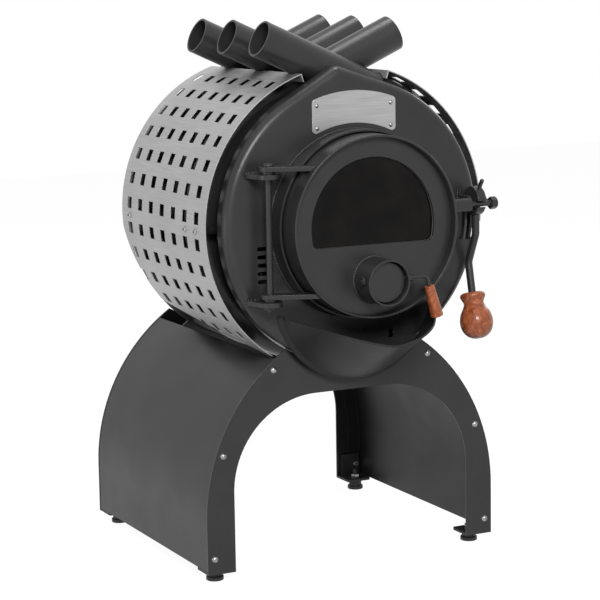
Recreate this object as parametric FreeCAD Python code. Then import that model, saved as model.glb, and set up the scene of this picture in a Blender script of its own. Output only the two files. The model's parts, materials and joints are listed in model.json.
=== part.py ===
import FreeCAD, Part
import math
import os

os.makedirs("parts", exist_ok=True)

# Steel wood stove: a round firebox wrapped in bent air tubes on an arched stand that holds logs.
# Sizes are in millimetres. X points right, Y points back and Z points up.
# The sizes below count Y from the stand's front face and Z from the stand's lower edge.

# Stand
base_width = 500.0
base_depth = 450.0
panel_thickness = 3.0
side_thickness = 2.0
leg_height = 82.0
base_arc_radius = 303.0
leg_width = 46.0
cradle_bridge = 41.9
opening_arc_radius = 140.0
side_inset = 0.5
side_gap = 2.5
flange_gap = 14.2
flange_width = 24.0
cradle_gap = 0.3
saddle_inset = 3.0
saddle_bridge = 62.0
saddle_foot_height = 190.0
side_low_gap = 0.3
base_screw_inset = 12.0
base_screw_below_flange = 4.0
base_screw_middle_angle = 20.0
base_screw_low_height = 24.0

# Feet
foot_height = 16.0
foot_tab_thickness = 4.0
foot_tab_length = 46.0
foot_flange_height = 42.0
foot_flange_width = 36.0
foot_flange_thickness = 3.0
foot_pad_radius = 13.5
foot_pad_round = 0.8
foot_skirt_height = 6.5
foot_neck_radius = 11.0
foot_neck_gap = 0.3
foot_stud_radius = 4.0
foot_stud_height = 20.0
foot_inset_x = 24.0
foot_inset_y = 30.0
foot_nut_flats = 13.0
foot_nut_height = 6.5

# Drum and its plates
drum_height = 522.5
plate_radius = 218.0
plate_forward = 15.0
plate_thickness = 4.0
plate_rim_radius = 13.0
apex_offset = 25.0
apex_reach = 237.5
apex_round = 16.0
shell_wall = 4.0
vent_slot_length = 20.0
vent_slot_height = 6.0
vent_slot_pitch = 12.4
vent_slot_count = 5
vent_slot_lowest = -79.0
keyhole_x = 60.5
keyhole_drop = 179.5
keyhole_radius = 4.5
keyhole_top_radius = 3.8
keyhole_top_rise = 6.9
notch_reach = 36.0
notch_low = -40.0
notch_high = 4.0

# Air tubes
tube_radius = 28.5
tube_wall = 3.0
tube_bend_radius = 202.0
tube_pitch = 57.3
first_tube_y = 40.0
tube_count = 6
tube_lean = 24.1
tube_outlet_length = 232.0
tube_foot_angle = -76.0
tube_gap = 0.3

# Flue and baffle
flue_radius = 60.0
flue_wall = 3.0
flue_rise = 95.0
flue_length = 79.0
flue_neck_inset = 1.2
flue_neck_length = 1.0
flue_gap = 0.2
baffle_rise = 16.0
baffle_thickness = 4.0
baffle_front = 90.0
baffle_rail_width = 26.0
baffle_rail_thickness = 6.0

# Side shields
shield_radius = 238.0
shield_thickness = 1.5
shield_front = 10.0
shield_rear = 337.0
shield_top_angle = 108.5
shield_low_angle = 236.5
shield_trim_top_angle = 186.0
shield_trim_low_angle = 217.5
shield_trim_depth = 42.0
short_shield_low_angle = 184.0
shield_lip = 13.0
slot_columns = 7
slot_rows = 12
short_slot_rows = 7
slot_first_y = 44.0
slot_pitch_y = 43.7
slot_first_angle = 118.0
slot_pitch_angle = 9.7
slot_width = 17.5
slot_arc = 18.5
shield_screw_y = (47.0, 85.0, 305.0)
shield_screw_angle = 181.0
shield_tube_gap = 0.8
post_radius = 6.5
post_gap = 0.02

# Door collar and door
collar_length = 33.0
collar_wall = 3.0
collar_gap = 2.2
seat_depth = 9.0
seat_thickness = 3.0
seat_width = 18.0
door_radius = 137.8
door_wall = 4.0
door_front = 73.0
door_rear = 15.0
face_recess = 14.0
face_thickness = 4.0
rope_radius = 6.7
rope_gap = 0.3
channel_thickness = 2.3
window_radius = 104.0
window_sill = 27.5
window_corner = 8.0
pane_overlap = 8.0
pane_thickness = 5.0
pane_seal_thickness = 1.5
retainer_width = 18.0
retainer_thickness = 2.0
retainer_screw_angles = (-8.0, 28.0, 64.0, 116.0, 152.0, 188.0)

# Air inlet and damper
inlet_radius = 35.0
inlet_wall = 3.0
inlet_drop = 80.0
inlet_length = 48.0
damper_radius = 30.0
damper_thickness = 2.0
damper_setback = 14.0
damper_rise = 4.0
damper_shaft_radius = 3.0
damper_shaft_end = 6.0
damper_elbow = 70.7
damper_bend = 10.0
damper_nut_flats = 12.0
damper_nut_height = 6.0
damper_cap_height = 4.0
damper_nut_gap = 2.5
damper_cap_gap = 0.8
damper_grip_drop = 15.0
damper_grip_lean = 15.9
damper_grip_length = 50.0
damper_grip_top = 7.4
damper_grip_end = 9.8
grip_hold_depth = 22.0
grip_hole_spare = 0.5
shaft_fit = 0.08

# Hinge
hinge_clear = 15.0
hinge_forward = 27.0
hinge_pin_radius = 5.0
hinge_plate = 7.0
hinge_nose = 18.0
hinge_root = 26.0
hinge_eye = 14.0
upper_lug_rise = 77.5
lower_lug_drop = 112.0
hinge_spacer = 4.5
hinge_rest_gap = 0.3
hinge_washer_radius = 10.0
hinge_head_radius = 8.0
hinge_head_height = 4.8
hinge_nut_flats = 17.0
hinge_nut_height = 5.5
hinge_pin_end = 2.5

# Latch
latch_inset = 23.5
latch_forward = 29.0
latch_rise = 23.5
hub_radius = 22.5
hub_width = 15.0
axle_radius = 4.5
axle_head_height = 1.2
axle_nut_flats = 13.0
axle_nut_height = 4.0
ear_thickness = 5.0
ear_gap = 1.3
ear_radius = 7.5
striker_forward = 12.5
striker_drop = 4.0
striker_radius = 4.5
striker_clear = 0.5
striker_turn = 38.0
striker_flats = 17.0
striker_head = 10.0
latch_bar_height = 20.0
latch_bar_thickness = 16.0
latch_bar_round = 7.0
horn_radius = 3.3
horn_reach = 21.0
horn_rise = 32.0
horn_bend = 8.0
handle_rod_radius = 6.0
handle_rod_offset = 2.0
handle_rod_straight = 29.5
handle_rod_back = 19.5
handle_rod_back_drop = 98.0
handle_rod_bend = 12.0
knob_back = 9.0
knob_drop = 145.0
knob_lean = 16.26
knob_length = 72.5
knob_radius = 26.0

# Ash lip
lip_radius = 139.0
lip_drop = 104.5
lip_half_width = 130.4
lip_corner_drop = 133.8
lip_dip = 38.5
lip_reach = 130.8
lip_fold = 7.0
lip_thickness = 3.0
lip_gap = 0.2
lip_back_top = 78.0
lip_back_thickness = 2.2

# Nameplate
nameplate_inner = 150.7
nameplate_outer = 200.0
nameplate_half_width = 71.0
nameplate_thickness = 1.5
nameplate_corner = 6.5
rivet_radius = 3.4
rivet_low_inset = 7.5
rivet_top_inset = 10.2
rivet_side_inset = 8.0
rivet_shank = 1.6

# Fasteners
screw_radius = 3.0
screw_head_radius = 5.25
screw_head_height = 3.3
screw_socket_flats = 4.0
nut_flats = 10.0
nut_height = 5.0
hole_clear = 0.2
thread_clear = 0.03

# Places worked out from the sizes
half_width = base_width / 2
arc_centre = base_arc_radius - half_width
opening_half_width = half_width - leg_width
plate_y = -plate_forward
plate_back = plate_y + plate_thickness
skirt_rear = first_tube_y - tube_radius - 0.5
last_tube_y = first_tube_y + (tube_count - 1) * tube_pitch
rear_plate_y = last_tube_y + tube_radius + 0.5
shell_radius = tube_bend_radius - tube_radius - tube_gap
shell_inner = shell_radius - shell_wall
collar_inner = door_radius + collar_gap
collar_outer = collar_inner + collar_wall
collar_front = plate_y - collar_length
seat_y = plate_y - seat_depth - seat_thickness
door_front_y = plate_y - door_front
door_rear_y = plate_y - door_rear
face_y = door_front_y + face_recess
face_back = face_y + face_thickness
ring_inner = door_radius - door_wall
inlet_front = face_y - inlet_length
inlet_z = drum_height - inlet_drop
hinge_x = -(collar_outer + hinge_clear)
hinge_y = plate_y - hinge_forward
latch_x = plate_radius - latch_inset
latch_y = plate_y - latch_forward
latch_z = drum_height + latch_rise
striker_y = latch_y - striker_forward
striker_z = latch_z - striker_drop
striker_reach = math.hypot(striker_forward, striker_drop)
striker_angle = math.degrees(math.atan2(striker_drop, striker_forward))
damper_y = inlet_front + damper_setback
damper_z = inlet_z + damper_rise
lip_y = plate_y - lip_gap
lip_front = lip_y - lip_reach
lip_z = drum_height - lip_drop
shift_y = -(min(lip_front, inlet_front) + base_depth + screw_head_height) / 2


def stand_angle(distance):
    """Where the stand's arched side comes within a distance of the drum's centre, as its angle."""
    reach = base_arc_radius - side_inset
    rise = drum_height - leg_height
    far = math.hypot(arc_centre, rise)
    bend = (reach ** 2 + far ** 2 - distance ** 2) / (2 * reach * far)
    return math.degrees(math.atan2(rise, arc_centre) - math.acos(bend))


side_end_angle = stand_angle(shield_radius + side_gap)
flange_end_angle = stand_angle(plate_radius + flange_gap)
base_screw_angles = (flange_end_angle - base_screw_below_flange, base_screw_middle_angle)


def vec(x, y, z):
    return FreeCAD.Vector(x, y, z)


def block(x0, x1, y0, y1, z0, z1):
    return Part.makeBox(x1 - x0, y1 - y0, z1 - z0, vec(x0, y0, z0))


def rod_x(radius, x0, x1, y, z):
    return Part.makeCylinder(radius, x1 - x0, vec(x0, y, z), vec(1, 0, 0))


def rod_y(radius, y0, y1, x, z):
    return Part.makeCylinder(radius, y1 - y0, vec(x, y0, z), vec(0, 1, 0))


def rod_z(radius, z0, z1, x, y):
    return Part.makeCylinder(radius, z1 - z0, vec(x, y, z0), vec(0, 0, 1))


def ring_y(outer, inner, y0, y1, x, z):
    return rod_y(outer, y0, y1, x, z).cut(rod_y(inner, y0 - 1, y1 + 1, x, z))


def join(shapes):
    result = shapes[0]
    for other in shapes[1:]:
        result = result.fuse(other)
    return result.removeSplitter()


def mirrored(shape):
    return shape.mirror(vec(0, 0, 0), vec(1, 0, 0))


def both_sides(shape):
    return [shape, mirrored(shape)]


def prism(points, direction):
    wire = Part.makePolygon([vec(*p) for p in points] + [vec(*points[0])])
    return Part.Face(wire).extrude(vec(*direction))


def sector(outer, inner, start, end, y0, y1, x, z):
    """A curved bar in the XZ plane between two radii and two angles in degrees."""
    def point(radius, angle):
        turn = math.radians(angle)
        return vec(x + radius * math.cos(turn), y0, z + radius * math.sin(turn))
    middle = (start + end) / 2
    edges = [
        Part.Arc(point(outer, start), point(outer, middle), point(outer, end)).toShape(),
        Part.makeLine(point(outer, end), point(inner, end)),
        Part.Arc(point(inner, end), point(inner, middle), point(inner, start)).toShape(),
        Part.makeLine(point(inner, start), point(outer, start)),
    ]
    return Part.Face(Part.Wire(edges)).extrude(vec(0, y1 - y0, 0))


def aim(shape, start, direction):
    """Turn a shape built along +Z so that it runs along a direction from a start point."""
    result = shape.copy()
    result.Placement = FreeCAD.Placement(start, FreeCAD.Rotation(vec(0, 0, 1), direction))
    return result


def hexagon(flats, height):
    radius = flats / math.sqrt(3)
    points = []
    for i in range(6):
        turn = math.radians(60 * i)
        points.append((radius * math.cos(turn), radius * math.sin(turn), 0))
    return prism(points, (0, 0, height))


def nut(flats, height, bore):
    blank = hexagon(flats, height)
    crown = Part.makeCone(flats / 2 + height, flats / 2 - 0.2, height + 0.2)
    rounded = blank.common(crown)
    return rounded.cut(Part.makeCylinder(bore, height + 2, vec(0, 0, -1)))


def turned(points):
    """Turn a closed outline of (radius, height) points about the Z axis."""
    wire = Part.makePolygon([vec(r, 0, h) for r, h in points] + [vec(points[0][0], 0, points[0][1])])
    return Part.Face(wire).revolve(vec(0, 0, 0), vec(0, 0, 1), 360)


def turned_smooth(points):
    """Turn a smooth outline about the Z axis and close it along the axis at both ends."""
    curve = Part.BSplineCurve()
    curve.interpolate([vec(r, 0, h) for r, h in points])
    first = vec(points[0][0], 0, points[0][1])
    last = vec(points[-1][0], 0, points[-1][1])
    edges = [curve.toShape()]
    foot = vec(0, 0, points[0][1])
    top = vec(0, 0, points[-1][1])
    if points[-1][0] > 0:
        edges.append(Part.makeLine(last, top))
    edges.append(Part.makeLine(top, foot))
    edges.append(Part.makeLine(foot, first))
    return Part.Face(Part.Wire(edges)).revolve(vec(0, 0, 0), vec(0, 0, 1), 360)


def button_screw(radius, length, head_radius, head_height, socket_flats):
    """A domed screw: the head stands above Z 0 and the shank runs down from it."""
    dome = (head_radius ** 2 + head_height ** 2) / (2 * head_height)
    ball = Part.makeSphere(dome, vec(0, 0, head_height - dome))
    head = ball.common(Part.makeCylinder(head_radius, head_height + 1))
    shank = Part.makeCylinder(radius, length, vec(0, 0, -length))
    socket = hexagon(socket_flats, head_height)
    socket.translate(vec(0, 0, head_height * 0.4))
    return head.fuse(shank).removeSplitter().cut(socket)


def bent_path(points, bend):
    """A wire through the points with an arc of the bend radius at each inner corner."""
    edges = []
    start = points[0]
    for i in range(1, len(points) - 1):
        corner = points[i]
        back = (points[i - 1] - corner).normalize()
        ahead = (points[i + 1] - corner).normalize()
        half = back.getAngle(ahead) / 2
        leg = bend / math.tan(half)
        centre_line = (back + ahead).normalize()
        first = corner + back * leg
        last = corner + ahead * leg
        middle = corner + centre_line * (bend / math.sin(half) - bend)
        edges.append(Part.makeLine(start, first))
        edges.append(Part.Arc(first, middle, last).toShape())
        start = last
    edges.append(Part.makeLine(start, points[-1]))
    return Part.Wire(edges)


def sweep(wire, radius):
    start = wire.Edges[0].firstVertex().Point
    direction = wire.Edges[0].tangentAt(wire.Edges[0].FirstParameter)
    circle = Part.Wire([Part.Circle(start, direction, radius).toShape()])
    return wire.makePipeShell([circle], True, True)


def save(name, shapes):
    solids = shapes if isinstance(shapes, list) else [shapes]
    solids = [solid for shape in solids for solid in shape.Solids]
    result = solids[0].copy() if len(solids) == 1 else Part.makeCompound(solids)
    result.translate(vec(0, shift_y, foot_height))
    result.exportStep("parts/" + name + ".step")


# Stand panels, cut from one arched outline
def arch(inset, y0, y1):
    half = half_width - inset
    legs = block(-half, half, y0, y1, 0, leg_height)
    right = rod_y(base_arc_radius - inset, y0, y1, -arc_centre, leg_height)
    left = rod_y(base_arc_radius - inset, y0, y1, arc_centre, leg_height)
    upper = block(-half, half, y0, y1, leg_height, leg_height + base_arc_radius)
    return join([legs, right.common(left).common(upper)])


def log_opening(y0, y1, bridge):
    height = drum_height - plate_radius - bridge
    spring = height - opening_arc_radius
    inner = opening_half_width - opening_arc_radius
    pieces = [block(-opening_half_width, opening_half_width, y0, y1, -1, spring)]
    pieces.append(block(-inner, inner, y0, y1, -1, height))
    for side in (-inner, inner):
        pieces.append(rod_y(opening_arc_radius, y0, y1, side, spring))
    return join(pieces)


def stand_panel(inset, y0, y1, bridge):
    panel = arch(inset, y0, y1)
    panel = panel.cut(rod_y(plate_radius + cradle_gap, y0 - 1, y1 + 1, 0, drum_height))
    return panel.cut(log_opening(y0 - 1, y1 + 1, bridge))


# Places of the stand's screws on the right side, as (x, z)
def base_screw_places():
    places = []
    for angle in base_screw_angles:
        turn = math.radians(angle)
        reach = base_arc_radius - base_screw_inset
        places.append((reach * math.cos(turn) - arc_centre, reach * math.sin(turn) + leg_height))
    places.append((half_width - base_screw_inset, base_screw_low_height))
    return places


screw_places = base_screw_places()
screw_places = screw_places + [(-x, z) for x, z in screw_places]


def drilled(shape, y0, y1, places, radius):
    for x, z in places:
        shape = shape.cut(rod_y(radius, y0, y1, x, z))
    return shape


front_panel = stand_panel(0, 0, panel_thickness, cradle_bridge)
front_panel = drilled(front_panel, -1, panel_thickness + 1, screw_places, screw_radius + hole_clear)
save("base_front_panel", front_panel)

rear_panel_y = base_depth - panel_thickness
rear_panel = stand_panel(0, rear_panel_y, base_depth, cradle_bridge)
rear_panel = drilled(rear_panel, rear_panel_y - 1, base_depth + 1, screw_places, screw_radius + hole_clear)
save("base_rear_panel", rear_panel)

saddle_y = rear_plate_y + 0.5
rear_saddle = stand_panel(saddle_inset, saddle_y, saddle_y + panel_thickness, saddle_bridge)
rear_saddle = rear_saddle.cut(block(-half_width, half_width, 0, base_depth, -1, saddle_foot_height))
save("rear_saddle", rear_saddle)


# Side sheets with a screw flange turned in at each end
def side_sheet():
    outer = base_arc_radius - side_inset
    face = half_width - side_inset
    y0 = panel_thickness
    y1 = base_depth - panel_thickness
    low_edge = foot_tab_thickness + side_low_gap
    pieces = [block(face - side_thickness, face, y0, y1, low_edge, leg_height)]
    inner = outer - side_thickness
    pieces.append(sector(outer, inner, 0, side_end_angle, y0, y1, -arc_centre, leg_height))
    for low in (y0, y1 - side_thickness):
        high = low + side_thickness
        deep = outer - flange_width
        pieces.append(block(face - flange_width, face, low, high, low_edge, leg_height))
        pieces.append(sector(outer, deep, 0, flange_end_angle, low, high, -arc_centre, leg_height))
    return drilled(join(pieces), 0, base_depth, screw_places, screw_radius + hole_clear)


right_side = side_sheet()
save("base_right_side", right_side)
save("base_left_side", mirrored(right_side))

# Stand screws and their nuts; the lowest ones also hold the foot brackets
base_screws = []
base_nuts = []
screw_length = panel_thickness + side_thickness + foot_flange_thickness + nut_height + 2
screw = button_screw(screw_radius, screw_length, screw_head_radius, screw_head_height, screw_socket_flats)
plain_nut = nut(nut_flats, nut_height, screw_radius + thread_clear)
for x, z in screw_places:
    grip = panel_thickness + side_thickness
    if z < leg_height:
        grip = grip + foot_flange_thickness
    base_screws.append(aim(screw, vec(x, 0, z), vec(0, -1, 0)))
    base_screws.append(aim(screw, vec(x, base_depth, z), vec(0, 1, 0)))
    base_nuts.append(aim(plain_nut, vec(x, grip, z), vec(0, 1, 0)))
    base_nuts.append(aim(plain_nut, vec(x, base_depth - grip, z), vec(0, -1, 0)))
save("base_panel_screws", base_screws)
save("base_panel_nuts", base_nuts)


# Foot brackets: a tab inside the stand's corner and a flange behind the panel
def foot_bracket():
    stop = panel_thickness + side_thickness
    tab = block(opening_half_width, half_width - side_inset, panel_thickness, foot_tab_length,
                0, foot_tab_thickness)
    tab = tab.makeFillet(6, [e for e in tab.Edges if is_tab_corner(e)])
    x1 = half_width - side_inset - side_thickness - 1
    back = stop + foot_flange_thickness
    flange = block(x1 - foot_flange_width, x1, stop, back, foot_tab_thickness - 0.5, foot_flange_height)
    bracket = join([tab, flange])
    bracket = drilled(bracket, stop - 1, back + 1, screw_places, screw_radius + hole_clear)
    hole = rod_z(foot_stud_radius + shaft_fit, -1, foot_tab_thickness + 1, foot_x, foot_inset_y)
    return bracket.cut(hole)


def is_tab_corner(edge):
    upright = abs(edge.BoundBox.ZLength - foot_tab_thickness) < 0.01 and edge.BoundBox.XLength < 0.01
    at_back = edge.BoundBox.YMin > foot_tab_length - 1
    return upright and at_back


def rear_copy(shape):
    return shape.mirror(vec(0, base_depth / 2, 0), vec(0, 1, 0))


foot_x = half_width - foot_inset_x
front_right_bracket = foot_bracket()
front_brackets = both_sides(front_right_bracket)
save("foot_brackets", front_brackets + [rear_copy(s) for s in front_brackets])

foot_nut = nut(foot_nut_flats, foot_nut_height, foot_stud_radius + shaft_fit)
foot_nut.translate(vec(foot_x, foot_inset_y, foot_tab_thickness))
front_nuts = both_sides(foot_nut)
save("foot_lock_nuts", front_nuts + [rear_copy(s) for s in front_nuts])


# Levelling feet: a pad with a rounded skirt on a threaded stud
def levelling_foot():
    top = -foot_neck_gap
    low = -foot_height
    skirt_top = low + foot_skirt_height
    outline = [
        (0, low),
        (foot_pad_radius - foot_pad_round, low),
        (foot_pad_radius, low + foot_pad_round),
        (foot_pad_radius, skirt_top - foot_pad_round),
        (foot_pad_radius - foot_pad_round, skirt_top),
        (foot_neck_radius, skirt_top),
        (foot_neck_radius, top),
        (foot_stud_radius, top),
        (foot_stud_radius, foot_stud_height - 1),
        (foot_stud_radius - 1, foot_stud_height),
        (0, foot_stud_height),
    ]
    foot = turned(outline)
    foot.translate(vec(foot_x, foot_inset_y, 0))
    return foot


front_right_foot = levelling_foot()
save("foot_front_right", front_right_foot)
save("foot_front_left", mirrored(front_right_foot))
save("foot_rear_right", rear_copy(front_right_foot))
save("foot_rear_left", mirrored(rear_copy(front_right_foot)))


# The drum's end plates share a round outline drawn up to a peak beside the nearest tube
def peaked_outline(radius, reach, offset, y0, y1, peak_round):
    far = math.hypot(reach, offset)
    aim_angle = math.degrees(math.atan2(reach, offset))
    spread = math.degrees(math.acos(radius / far))
    def point(r, angle):
        turn = math.radians(angle)
        return vec(r * math.cos(turn), y0, drum_height + r * math.sin(turn))
    right = aim_angle - spread
    left = aim_angle + spread
    peak = vec(offset, y0, drum_height + reach)
    edges = [
        Part.makeLine(point(radius, right), peak),
        Part.makeLine(peak, point(radius, left)),
        Part.Arc(point(radius, left), point(radius, (left + right) / 2 + 180), point(radius, right)).toShape(),
    ]
    solid = Part.Face(Part.Wire(edges)).extrude(vec(0, y1 - y0, 0))
    ridge = [e for e in solid.Edges if e.BoundBox.ZMin > drum_height + reach - 0.01]
    return solid.makeFillet(peak_round, ridge)


def rounded_front(solid, y0, radius):
    rim = [e for e in solid.Edges if e.BoundBox.YMax < y0 + 0.01]
    return solid.makeFillet(radius, rim)


def front_plate():
    outer = peaked_outline(plate_radius, apex_reach, -apex_offset, plate_y, skirt_rear, apex_round)
    outer = rounded_front(outer, plate_y, plate_rim_radius)
    shrink = (plate_radius - plate_thickness) / plate_radius
    inner = peaked_outline(
        plate_radius - plate_thickness,
        apex_reach * shrink,
        -apex_offset * shrink,
        plate_back,
        skirt_rear + 1,
        apex_round - plate_thickness + 1,
    )
    inner = rounded_front(inner, plate_back, plate_rim_radius - plate_thickness)
    plate = outer.cut(inner)
    seat_inner = collar_inner - seat_width
    plate = plate.cut(rod_y(seat_inner + 2, plate_y - 1, plate_back + 1, 0, drum_height))
    for i in range(vent_slot_count):
        z = drum_height + vent_slot_lowest + i * vent_slot_pitch
        x1 = -collar_outer - 2
        half = vent_slot_height / 2
        x0 = x1 - vent_slot_length + half
        slot = block(x0, x1, plate_y - 1, plate_back + 1, z - half, z + half)
        plate = plate.cut(slot).cut(rod_y(half, plate_y - 1, plate_back + 1, x0, z))
    key_z = drum_height - keyhole_drop
    top_z = key_z + keyhole_top_rise
    plate = plate.cut(rod_y(keyhole_radius, plate_y - 1, plate_back + 1, keyhole_x, key_z))
    plate = plate.cut(rod_y(keyhole_top_radius, plate_y - 1, plate_back + 1, keyhole_x, top_z))
    notch = block(plate_radius - notch_reach, plate_radius + 1, plate_y - 1, plate_back + plate_rim_radius,
                  drum_height + notch_low, drum_height + notch_high)
    return plate.cut(notch)


save("front_plate", front_plate())

rear_plate = peaked_outline(plate_radius, apex_reach, apex_offset, rear_plate_y,
                            rear_plate_y + plate_thickness, apex_round)
flue_z = drum_height + flue_rise
rear_plate_back = rear_plate_y + plate_thickness
flue_neck_radius = flue_radius - flue_neck_inset
rear_plate = rear_plate.cut(rod_y(flue_neck_radius + flue_gap, rear_plate_y - 1, rear_plate_back + 1, 0, flue_z))
save("rear_plate", rear_plate)

# The flue spigot's neck passes through the rear plate, and its shoulder stops the pipe just behind it
flue_bore = flue_radius - flue_wall
flue_shoulder_y = rear_plate_back + flue_neck_length
flue_neck = ring_y(flue_neck_radius, flue_bore, rear_plate_y, flue_shoulder_y + flue_neck_length, 0, flue_z)
flue_wall_ring = ring_y(flue_radius, flue_bore, flue_shoulder_y, flue_shoulder_y + flue_length, 0, flue_z)
save("flue_spigot", join([flue_neck, flue_wall_ring]))
save("firebox_shell", ring_y(shell_radius, shell_inner, plate_back, rear_plate_y, 0, drum_height))


# Baffle plate on two rails inside the firebox, below the flue
baffle_z = flue_z - flue_radius - baffle_rise
baffle_top = baffle_z - drum_height + baffle_thickness
baffle_half = math.sqrt(shell_inner ** 2 - baffle_top ** 2) - 2
save("baffle_plate", block(-baffle_half, baffle_half, baffle_front, rear_plate_y - 1,
                           baffle_z, baffle_z + baffle_thickness))
rail = block(baffle_half - baffle_rail_width, shell_radius, baffle_front, rear_plate_y - 1,
             baffle_z - baffle_rail_thickness, baffle_z)
rail = rail.common(rod_y(shell_inner - 0.1, baffle_front, rear_plate_y, 0, drum_height))
save("baffle_rails", both_sides(rail))


# Air tubes: odd ones come round the right side and lean out to the left, even ones the other way
def tube_path(y):
    leave = 90 - tube_lean
    def point(angle):
        turn = math.radians(angle)
        return vec(tube_bend_radius * math.cos(turn), y, drum_height + tube_bend_radius * math.sin(turn))
    start = point(tube_foot_angle)
    bend_end = point(leave)
    lean = math.radians(tube_lean)
    end = bend_end + vec(-math.cos(lean), 0, math.sin(lean)) * tube_outlet_length
    bend = Part.Arc(start, point((tube_foot_angle + leave) / 2), bend_end).toShape()
    return Part.Wire([bend, Part.makeLine(bend_end, end)])


def filled_tube(number, radius):
    solid = sweep(tube_path(first_tube_y + number * tube_pitch), radius)
    return solid if number % 2 == 0 else mirrored(solid)


filled_tubes = [filled_tube(number, tube_radius) for number in range(tube_count)]
for number in range(tube_count):
    bore = filled_tube(number, tube_radius - tube_wall)
    save("air_tube_" + str(number + 1), filled_tubes[number].cut(bore))


# Side shields: thin perforated sheets bent round the tubes, with a lip at the top
def shield_point(radius, angle, y):
    turn = math.radians(angle)
    return vec(radius * math.cos(turn), y, drum_height + radius * math.sin(turn))


def outward(angle):
    turn = math.radians(angle)
    return vec(math.cos(turn), 0, math.sin(turn))


def left_shield(low_angle, rows):
    inner = shield_radius - shield_thickness
    sheet = sector(shield_radius, inner, shield_top_angle, low_angle, shield_front, shield_rear,
                   0, drum_height)
    lip_angle = shield_thickness / shield_radius * 180 / math.pi
    lip = sector(shield_radius, shield_radius - shield_lip, shield_top_angle - lip_angle, shield_top_angle,
                 shield_front, shield_rear, 0, drum_height)
    sheet = join([sheet, lip])
    slots = []
    for row in range(rows):
        angle = slot_first_angle + row * slot_pitch_angle
        for column in range(slot_columns):
            y = slot_first_y + column * slot_pitch_y
            cutter = Part.makeBox(slot_arc, slot_width, 8, vec(-slot_arc / 2, -slot_width / 2, -4))
            cutter.rotate(vec(0, 0, 0), vec(0, 1, 0), 90 - angle)
            cutter.translate(shield_point(shield_radius - shield_thickness / 2, angle, y))
            slots.append(cutter)
    for y in shield_screw_y:
        start = shield_point(inner - 3, shield_screw_angle, y)
        slots.append(Part.makeCylinder(screw_radius + hole_clear, 8, start, outward(shield_screw_angle)))
    return sheet.cut(Part.makeCompound(slots))


# The left shield's lower end rises towards the back, where its corner is cut off
def shield_trim():
    def height(angle):
        return drum_height + shield_radius * math.sin(math.radians(angle))
    side = -shield_radius - 1
    floor = height(shield_low_angle) - 1
    outline = [
        (side, shield_front, height(shield_low_angle)),
        (side, shield_rear - shield_trim_depth, height(shield_trim_low_angle)),
        (side, shield_rear, height(shield_trim_top_angle)),
        (side, shield_rear + 1, height(shield_trim_top_angle)),
        (side, shield_rear + 1, floor),
        (side, shield_front, floor),
    ]
    return prism(outline, (shield_radius, 0, 0))


# Both shields are notched round the tubes, and the right one stops above the handle's swing
tube_room = [filled_tube(number, tube_radius + shield_tube_gap) for number in range(tube_count)]
tube_room = Part.makeCompound(tube_room)
right_shield = mirrored(left_shield(short_shield_low_angle, short_slot_rows))
save("shield_left", left_shield(shield_low_angle, slot_rows).cut(shield_trim()).cut(tube_room))
save("shield_right", right_shield.cut(tube_room))


# Posts that carry the shields, each shaped to the tube or shell it stands on
def shield_posts(side):
    posts = []
    angle = shield_screw_angle if side < 0 else 180 - shield_screw_angle
    away = outward(angle)
    top = shield_radius - shield_thickness
    for y in shield_screw_y:
        start = shield_point(shell_radius - 8, angle, y)
        post = Part.makeCylinder(post_radius, top - shell_radius + 8, start, away)
        post = post.cut(rod_y(shell_radius + 0.1, 0, rear_plate_y, 0, drum_height))
        post = post.common(rod_y(top - post_gap, 0, rear_plate_y, 0, drum_height))
        for tube in filled_tubes:
            post = post.cut(tube)
        outer = max(post.Solids, key=lambda s: abs(s.CenterOfMass.x))
        hole = Part.makeCylinder(screw_radius + thread_clear, 6.5, shield_point(top - 6, angle, y), away)
        posts.append(outer.cut(hole))
    return posts


save("shield_posts", shield_posts(-1) + shield_posts(1))

shield_screws = []
shield_screw = button_screw(screw_radius, shield_thickness + 5, screw_head_radius, screw_head_height,
                            screw_socket_flats)
for angle in (shield_screw_angle, 180 - shield_screw_angle):
    for y in shield_screw_y:
        place = shield_point(shield_radius + 0.1, angle, y)
        shield_screws.append(aim(shield_screw, place, outward(angle)))
save("shield_screws", shield_screws)


# Door collar with the seat that the rope seal meets
collar = ring_y(collar_outer, collar_inner, collar_front, plate_y, 0, drum_height)
seat_inner_radius = collar_inner - seat_width
seat = ring_y(collar_inner + 1, seat_inner_radius, seat_y, seat_y + seat_thickness, 0, drum_height)
save("door_collar", join([collar, seat]))


# Hinge lugs on the plate, two plates with a round nose about the pin
def hinge_lug(z):
    nose = rod_z(hinge_nose, z, z + hinge_plate, hinge_x, hinge_y)
    root = prism([
        (hinge_x - hinge_root, plate_y, z),
        (hinge_x - hinge_nose, hinge_y, z),
        (hinge_x + hinge_nose, hinge_y, z),
        (hinge_x + hinge_root, plate_y, z),
    ], (0, 0, hinge_plate))
    lug = join([nose, root])
    lug = lug.cut(rod_y(collar_outer + 0.3, collar_front, plate_y, 0, drum_height))
    return lug.cut(rod_z(hinge_pin_radius + shaft_fit, z - 1, z + hinge_plate + 1, hinge_x, hinge_y))


upper_lug_z = drum_height + upper_lug_rise
lower_lug_z = drum_height - lower_lug_drop
save("hinge_lugs", [hinge_lug(upper_lug_z), hinge_lug(lower_lug_z)])
upper_arm_z = upper_lug_z + hinge_plate + hinge_spacer
lower_arm_z = lower_lug_z + hinge_plate + hinge_spacer


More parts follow.
